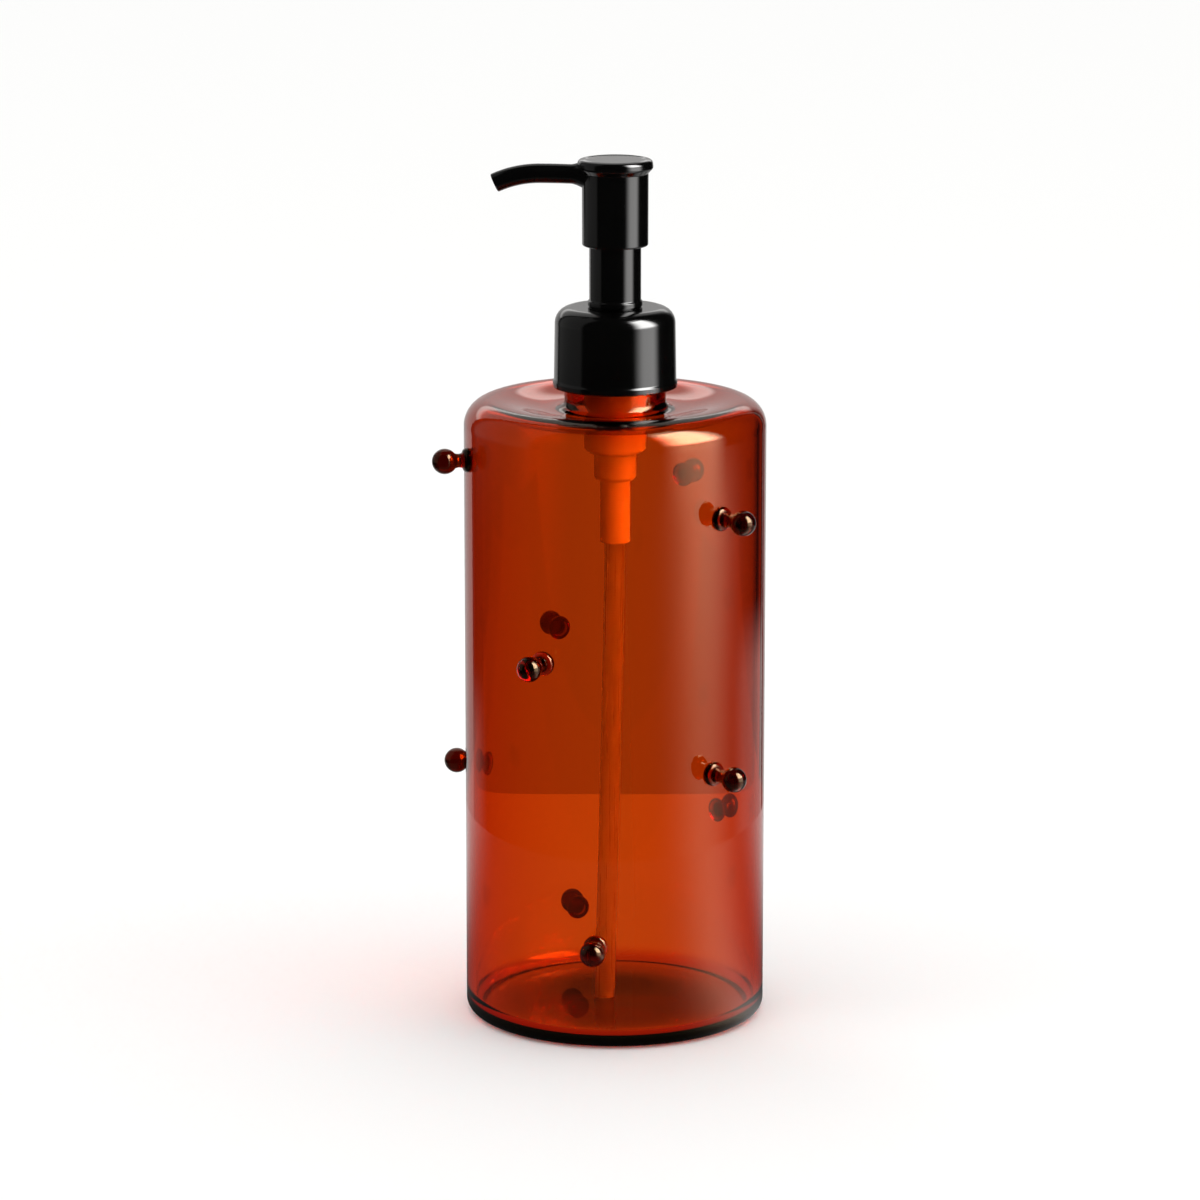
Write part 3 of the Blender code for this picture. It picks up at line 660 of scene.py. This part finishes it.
def nozzle_surface():
    """Spout as one surface: the outside from its flared root to the tip, round the lip, and back
    up the bore. The radius at the root swells by a power curve into the skirt."""
    path, ahead, along = nozzle_path(90)
    across = np.array((0.0, 1.0, 0.0))
    up = np.cross(ahead, across)
    flare_end = abs(NOZZLE_FLARE_X - path[0, 0])
    outer_r = NOZZLE_R + NOZZLE_FLARE * np.clip(1.0 - along / flare_end, 0.0, 1.0) ** 1.6
    bend = np.radians(np.linspace(0.0, 90.0, 7))[1:]
    lip_path = path[-1] - ahead[-1] * (NOZZLE_LIP * (1.0 - np.sin(bend)))[:, None]
    lip_r = NOZZLE_R - NOZZLE_LIP * (1.0 - np.cos(bend))
    shank = along < along[-1] - NOZZLE_LIP
    bore_at = np.interp(along[-1] - np.linspace(0.0, NOZZLE_BORE_SHOWN, 24), along, np.arange(len(along)))
    bore = np.round(bore_at).astype(int)[1:]
    end = bore[-1:]
    tip_up = np.tile(up[-1], (len(bend) + 1, 1))
    points = np.concatenate([path[:1], path[shank], lip_path, path[-1:], path[bore], path[end]])
    ups = np.concatenate([up[:1], up[shank], tip_up, up[bore], up[end]])
    radii = np.concatenate([[0.0], outer_r[shank], lip_r, [NOZZLE_BORE_R + 0.15 * MM],
                            np.full(len(bore), NOZZLE_BORE_R), [0.0]])
    return surface("nozzle_spout", swept(points, np.tile(across, (len(points), 1)), ups, radii))


def pump_head(material):
    """Disc top with a rolled rim, skirt, stem boss and spout, fused into one moulding."""
    top = HEAD_TOP - 0.2 * MM
    outline = pencil([
        (0.0, top, 0.0), (DISC_R - 1.4 * MM, top, 1.2 * MM), (DISC_R - 0.7 * MM, HEAD_TOP, 0.5 * MM),
        (RIM_R - 0.2 * MM, HEAD_TOP - 0.25 * MM, 1.0 * MM), (RIM_R, RIM_Z - 0.4 * MM, 0.9 * MM),
        (SKIRT_R, HEAD_TOP - 3.5 * MM, 0.35 * MM),
        (SKIRT_R - 0.04 * MM, HEAD_FOOT, 0.5 * MM), (SKIRT_BORE_R, HEAD_FOOT, 0.25 * MM),
        (SKIRT_BORE_R, CEILING_Z, 0.4 * MM), (BOSS_R, CEILING_Z, 0.4 * MM), (BOSS_R, BOSS_FOOT, 0.2 * MM),
        (BOSS_BORE_R, BOSS_FOOT, 0.15 * MM), (BOSS_BORE_R, CEILING_Z, 0.2 * MM), (0.0, CEILING_Z, 0.0)])
    body = surface("head_body", turned(outline, AROUND))
    head = fuse(body, [nozzle_surface()], "pump_head")
    soften(head, 40.0)
    return place(head, material, "head", "black_plastic", "actuator_head")


def housing_tube(material):
    """Stepped pump housing: flange, barrel, valve chamber, tube socket."""
    outline = pencil([
        (BARREL_BORE_R, HOUSING_TOP, 0.2 * MM), (HOUSING_R, HOUSING_TOP, 0.2 * MM),
        (HOUSING_R, FLANGE_FOOT, 0.2 * MM), (BARREL_R, FLANGE_FOOT, 0.3 * MM),
        (BARREL_R, BARREL_FOOT, 0.9 * MM), (CHAMBER_R, BARREL_FOOT, 0.4 * MM),
        (CHAMBER_R, CHAMBER_FOOT, 1.1 * MM), (SOCKET_R, CHAMBER_FOOT, 0.3 * MM),
        (SOCKET_R, HOUSING_FOOT, 0.25 * MM), (SOCKET_BORE_R, HOUSING_FOOT, 0.15 * MM),
        (SOCKET_BORE_R, TUBE_STOP, 0.1 * MM), (SEAT_HOLE_R, TUBE_STOP, 0.1 * MM),
        (SEAT_HOLE_R, SEAT_Z, 0.1 * MM),
        (CHAMBER_BORE_R, SEAT_Z + CHAMBER_BORE_R - SEAT_HOLE_R, 0.2 * MM),
        (CHAMBER_BORE_R, SPRING_LEDGE, 0.2 * MM),
        (BARREL_BORE_R, SPRING_LEDGE, 0.3 * MM)], closed=True)
    tube = surface("housing_tube", turned(outline, AROUND_SMALL), loop=True)
    return place(tube, material, "pump_body", "natural_plastic", "pump_housing")


def gasket_ring(material):
    """Flat washer on the neck's rim."""
    outline = pencil([
        (GASKET_HOLE_R, GASKET_TOP, 0.15 * MM), (GASKET_R, GASKET_TOP, 0.2 * MM),
        (GASKET_R, GASKET_FOOT, 0.2 * MM), (GASKET_HOLE_R, GASKET_FOOT, 0.15 * MM)], closed=True)
    washer = surface("gasket_ring", turned(outline, AROUND_SMALL), loop=True)
    return place(washer, material, "gasket", "soft_seal", "neck_gasket")


def stem_tube(material):
    """Hollow stem: outlet ball's cup and cone seat on top, spring flange at the foot."""
    flange_top = STEM_FOOT + STEM_FLANGE_T
    outline = pencil([
        (STEM_CUP_R, STEM_TOP, 0.15 * MM), (STEM_R, STEM_TOP, 0.2 * MM),
        (STEM_R, flange_top, 0.2 * MM), (FLANGE_R, flange_top, 0.2 * MM),
        (FLANGE_R, STEM_FOOT, 0.2 * MM), (STEM_BORE_R, STEM_FOOT, 0.2 * MM),
        (STEM_BORE_R, STEM_CUP_Z - STEM_CUP_R + STEM_BORE_R, 0.1 * MM),
        (STEM_CUP_R, STEM_CUP_Z, 0.2 * MM)], closed=True)
    tube = surface("stem_tube", turned(outline, AROUND_SMALL), loop=True)
    return place(tube, material, "plunger", "natural_plastic", "stem")


def piston_cup(material):
    """Double-lipped piston ring."""
    bore = STEM_R + 0.3 * MM
    outline = pencil([
        (bore, PISTON_TOP, 0.15 * MM), (PISTON_R, PISTON_TOP, 0.12 * MM),
        (PISTON_WAIST_R, PISTON_TOP - PISTON_LIP, 0.4 * MM),
        (PISTON_WAIST_R, PISTON_FOOT + PISTON_LIP, 0.4 * MM),
        (PISTON_R, PISTON_FOOT, 0.12 * MM), (bore, PISTON_FOOT, 0.15 * MM)], closed=True)
    ring = surface("piston_cup", turned(outline, AROUND_SMALL), loop=True)
    return place(ring, material, "plunger", "soft_seal", "piston_seal")


def coil_spring(material):
    """Compression spring: a helix whose pitch closes up to a wire's width over each end turn."""
    turn = np.linspace(0.0, SPRING_TURNS, SPRING_TURNS * 48 + 1)
    closed = 2.0 * WIRE_R + 0.1 * MM
    height = SPRING_TOP - SPRING_FOOT - 2.0 * WIRE_R
    middle = np.clip(turn - 1.0, 0.0, SPRING_TURNS - 2.0) / (SPRING_TURNS - 2.0)
    z = np.minimum(turn, 1.0) * closed + np.maximum(turn - SPRING_TURNS + 1.0, 0.0) * closed
    z = SPRING_FOOT + WIRE_R + z + middle * (height - 2.0 * closed)
    angle = 2.0 * np.pi * turn
    coil_r = SPRING_OUT_R - WIRE_R
    outward = np.stack([np.cos(angle), np.sin(angle), 0.0 * angle], 1)
    path = outward * coil_r + z[:, None] * np.array((0.0, 0.0, 1.0))
    path = np.concatenate([path[:1], path, path[-1:]])
    outward = np.concatenate([outward[:1], outward, outward[-1:]])
    rise = np.tile(np.array((0.0, 0.0, 1.0)), (len(path), 1))
    radii = np.concatenate([[0.0], np.full(len(path) - 2, WIRE_R), [0.0]])
    coil = surface("coil_spring", swept(path, outward, rise, radii, around=12))
    piece = place(coil, material, "pump_body", "spring_steel", "return_spring")
    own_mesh(piece)
    return piece


def valve_ball(node, name, body, material):
    """A ball turned from a half circle, on its CAD ball's centre."""
    low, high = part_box(node)
    radius = 0.5 * (high.z - low.z)
    outline = curve_arc(0.0, 0.5 * (low.z + high.z), radius, 90, -90, 32)
    outline[[0, -1], 0] = 0.0
    return place(surface(name, turned(outline, AROUND_BEAD)), material, body, "valve_glass", node)


def dip_pipe(material):
    """The tube from its socket down to the floor: upright at first, then leaning by a power curve."""
    bend = HOUSING_FOOT
    upright = np.linspace(TUBE_TOP, bend, 6)[:-1]
    level = np.concatenate([upright, np.linspace(bend, TUBE_FOOT + 0.05 * MM, 60)])
    share = np.clip((bend - level) / (bend - TUBE_FOOT), 0.0, 1.0)
    path = np.stack([-TUBE_LEAN * share ** 1.2, 0.0 * level, level], 1)
    ahead = np.gradient(path, axis=0)
    ahead /= np.linalg.norm(ahead, axis=1)[:, None]
    across = np.tile(np.array((0.0, 1.0, 0.0)), (len(path), 1))
    up = np.cross(across, ahead)
    index = np.concatenate([np.arange(len(path)), np.arange(len(path))[::-1]])
    radii = np.concatenate([np.full(len(path), TUBE_R), np.full(len(path), TUBE_BORE_R)])
    grid = swept(path[index], across[index], up[index], radii)
    pipe = surface("dip_pipe", grid, loop=True)
    return place(pipe, material, "pump_body", "clear_tube", "dip_tube")


# ---------------------------------------------------------------------------------------------
# Studio, in metres; bearings in degrees from the camera's side, positive to the right
# ---------------------------------------------------------------------------------------------

FLOOR_HALF = 4.0
FLOOR_Z = -0.3 * MM              # just under the base, as are the two sheets of table light
GLOW_Z = -0.1 * MM
SHEEN_Z = -0.2 * MM
TABLE_HALF = 0.6                 # the bright table each way along X
TABLE_END = 0.21                 # and where it ends, which draws the horizon in the glass
SCREEN_R = 0.75
SCREEN_FOOT = -0.5
SCREEN_TOP = 1.9
KEY_BEARING = 69.0               # where the softbox stands
KEY_SPREAD = 15.0
WALL_X = (-0.5, 0.3)
WALL_Y = 0.56
WALL_Z = (-0.3, 1.6)
WALL_LIGHT = 0.62
CAMERA_AIM = Vector((-3.74 * MM, 0.0, 105.36 * MM))
CAMERA_DISTANCE = 1.316
CAMERA_PITCH = math.radians(12.76)
CAMERA_LENS = 158.2
CAMERA_SENSOR = 36.0


class Glow:
    """An emitter whose strength is worked out from where on the panel a ray lands, in metres."""

    def __init__(self, name, colour=(1.0, 1.0, 1.0)):
        self.material = bpy.data.materials.new(name)
        self.material.use_nodes = True
        self.tree = self.material.node_tree
        self.tree.nodes.clear()
        self.light = self.tree.nodes.new("ShaderNodeEmission")
        self.light.inputs["Color"].default_value = (*colour, 1.0)
        output = self.tree.nodes.new("ShaderNodeOutputMaterial")
        self.tree.links.new(self.light.outputs[0], output.inputs["Surface"])
        where = self.tree.nodes.new("ShaderNodeTexCoord")
        split = self.tree.nodes.new("ShaderNodeSeparateXYZ")
        self.tree.links.new(where.outputs["Object"], split.inputs[0])
        self.x, self.y, self.z = (Wire(self.tree, split.outputs[axis]) for axis in "XYZ")

    def bearing(self):
        """Degrees round the object from the camera's side, positive to the right."""
        return self.x.math("ARCTAN2", self.y * -1.0) * math.degrees(1.0)

    def reach(self):
        """Metres from the object's axis."""
        return (self.x * self.x + self.y * self.y) ** 0.5

    def done(self, strength):
        """Drive the emission and hand over the material."""
        plug(self.tree, self.light, "Strength", strength)
        return self.material


def hump(value, centre, spread):
    """A bell curve: the exponential of minus half the square of the distance in spreads."""
    off = (value - centre) * (1.0 / spread)
    return (off * off * -0.5).math("EXPONENT")


def step(value, low, high):
    """A smooth rise from 0 at low to 1 at high."""
    return value.node("ShaderNodeMapRange", {"interpolation_type": "SMOOTHSTEP"}, Value=value,
                      From_Min=low, From_Max=high)


def stage(name, grid, material, seen_by, wrap=True):
    """A studio surface that only the named kinds of ray see."""
    rows, across = grid.shape[:2]
    index = np.arange(rows * across).reshape(rows, across)
    right = np.roll(index, -1, axis=1)
    quads = np.stack([index[:-1], index[1:], right[1:], right[:-1]], 2)
    if not wrap:
        quads = quads[:, :-1]
    mesh = bpy.data.meshes.new(name)
    mesh.from_pydata(grid.reshape(-1, 3).tolist(), [], quads.reshape(-1, 4).tolist())
    mesh.materials.append(material)
    piece = bpy.data.objects.new(name, mesh)
    bpy.context.scene.collection.objects.link(piece)
    for kind in ("camera", "diffuse", "glossy", "transmission", "shadow"):
        setattr(piece, "visible_" + kind, kind in seen_by)


def sheet(x_span, y_span, z_span, steps=9):
    """A flat rectangle: two of the spans are (low, high) pairs and the third is one number."""
    spans = [np.atleast_1d(np.array(span, dtype=float)) for span in (x_span, y_span, z_span)]
    share = np.linspace(0.0, 1.0, steps)
    free = [i for i, span in enumerate(spans) if len(span) == 2]
    grid = np.zeros((steps, steps, 3))
    for i, span in enumerate(spans):
        run = share[:, None] if i == free[0] else share[None, :]
        grid[..., i] = span[0] + (span[-1] - span[0]) * run
    return grid


def floor():
    """The pale floor that the camera sees."""
    paper = Finish("pale_floor", Base_Color=(0.95, 0.95, 0.94, 1.0), Roughness=0.9).material
    span = (-FLOOR_HALF, FLOOR_HALF)
    stage("floor", sheet(span, span, FLOOR_Z), paper, ("camera", "diffuse", "shadow"), wrap=False)


def table():
    """A bright table: one sheet seen through the glass, and one that gloss mirrors. Both carry a painted
    shadow under the bottle's base, and the mirrored one painted light: dim in front, bright behind,
    with a patch of the softbox's light on the right."""
    glow = Glow("table_glow")
    # painted shadow: the table's light falls to a twentieth under the bottle's base
    light = step(glow.reach(), 0.014, 0.046) * 0.95 + 0.05
    grid = sheet((-TABLE_HALF, TABLE_HALF), (-TABLE_END, TABLE_END), GLOW_Z)
    stage("table_through_glass", grid, glow.done(light), ("transmission",), wrap=False)

    sheen = Glow("table_sheen")
    key = hump(sheen.bearing(), KEY_BEARING, KEY_SPREAD)
    # painted light on the table: dim in front, bright behind, the softbox's light on the right, and a
    # painted shadow under the base
    light = (step(sheen.y, 0.02, 0.16) * 0.65 + 0.10 + key * 1.6) * step(sheen.reach(), 0.03, 0.05)
    ring = np.array([(0.0, SHEEN_Z), (0.5 * TABLE_END, SHEEN_Z), (TABLE_END, SHEEN_Z)])
    stage("table_in_gloss", turned(ring, AROUND_SMALL), sheen.done(light), ("glossy",))


def screen():
    """A round screen of soft light for gloss and glass. It carries a softbox on the right, which
    is a soft hump low down and an even strip from the closure up, a dim card on the left, the
    table's far sides and, for rays through glass only, an even glow all round."""
    glow = Glow("screen_glow", (1.0, 0.99, 0.975))
    bearing, height = glow.bearing(), glow.z
    path = glow.tree.nodes.new("ShaderNodeLightPath")
    through = Wire(glow.tree, path.outputs["Is Transmission Ray"])
    upper = step(height, -0.03, 0.03)
    strip = (step(bearing, 33.0, 57.0) - step(bearing, 74.0, 93.0)) * 1.1
    key = hump(bearing, KEY_BEARING, KEY_SPREAD) * (1.0 - upper) + strip * upper
    core = step(height, 0.24, 0.38) * (1.0 - step(height, 1.30, 1.50)) * (through * 20.0 + 18.0)
    spill = step(height, -0.13, 0.06) * 2.6 + 1.6
    card = step(bearing, -136.0, -126.0) - step(bearing, -70.0, -62.0)
    left = card * step(height, -0.04, 0.10) * 0.22
    table_right = step(bearing, 96.0, 116.0) * (1.0 - step(height, -0.09, -0.055)) * 0.5
    table_left = (1.0 - step(bearing, -132.0, -112.0)) * (1.0 - step(height, -0.12, -0.08)) * 0.3
    back_left = (1.0 - step(bearing, -150.0, -132.0)) * (0.32 - step(height, -0.04, 0.01) * 0.22)
    back_right = step(bearing, 148.0, 154.0) * 0.5
    around = through * (1.0 - step(bearing, 15.0, 45.0) + step(bearing, 142.0, 152.0)) * 0.5
    total = key * (core + spill) + left + table_right + table_left + back_left + back_right + around + 0.012
    rise = np.linspace(SCREEN_FOOT, SCREEN_TOP, 13)
    grid = turned(np.stack([0.0 * rise + SCREEN_R, rise], 1), AROUND_SMALL)
    stage("screen_round", grid, glow.done(total), ("glossy", "transmission"))


def wall():
    """The pale wall behind, with a brighter band where the head's disc mirrors it."""
    glow = Glow("wall_glow", (1.0, 0.985, 0.97))
    band = step(glow.z, 0.315, 0.345) - step(glow.z, 0.38, 0.44)
    light = (1.0 - step(glow.x, 0.18, 0.30)) * (band * 1.1 + WALL_LIGHT)
    grid = sheet(WALL_X, WALL_Y, WALL_Z)
    stage("wall_behind", grid, glow.done(light), ("glossy", "transmission"), wrap=False)


def world():
    """White to the camera and even for diffuse light. Gloss and glass see the studio instead."""
    sky = bpy.data.worlds.new("studio_air")
    sky.use_nodes = True
    tree = sky.node_tree
    path = tree.nodes.new("ShaderNodeLightPath")
    camera = Wire(tree, path.outputs["Is Camera Ray"])
    diffuse = Wire(tree, path.outputs["Is Diffuse Ray"])
    strength = camera * 0.98 + diffuse * 1.08 + 0.02
    background = tree.nodes["Background"]
    background.inputs["Color"].default_value = (1.0, 1.0, 1.0, 1.0)
    tree.links.new(strength.socket, background.inputs["Strength"])
    bpy.context.scene.world = sky


def camera():
    """A long lens a little above the pump, aimed at the middle of the bottle."""
    data = bpy.data.cameras.new("camera")
    data.sensor_width = CAMERA_SENSOR
    data.lens = CAMERA_LENS
    data.clip_end = 50.0
    lens = bpy.data.objects.new("camera", data)
    back = Vector((0.0, -math.cos(CAMERA_PITCH), math.sin(CAMERA_PITCH)))
    lens.location = CAMERA_AIM + CAMERA_DISTANCE * back
    lens.rotation_euler = (math.pi / 2 - CAMERA_PITCH, 0.0, 0.0)
    bpy.context.scene.collection.objects.link(lens)
    bpy.context.scene.camera = lens


def build():
    """Everything, from the glass to the studio."""
    bpy.context.scene.view_settings.view_transform = "Standard"
    black = black_plastic()
    natural = natural_plastic()
    seal = soft_seal()
    ball_glass = valve_glass()
    glass_body(amber_glass())
    closure_cap(black)
    tower_sleeve(black)
    pump_head(black)
    housing_tube(natural)
    gasket_ring(seal)
    stem_tube(natural)
    piston_cup(seal)
    coil_spring(spring_steel())
    valve_ball("inlet_ball", "inlet_valve_ball", "inlet_valve", ball_glass)
    valve_ball("outlet_ball", "outlet_valve_ball", "outlet_valve", ball_glass)
    dip_pipe(tube_plastic())
    floor()
    table()
    screen()
    wall()
    world()
    camera()


build()
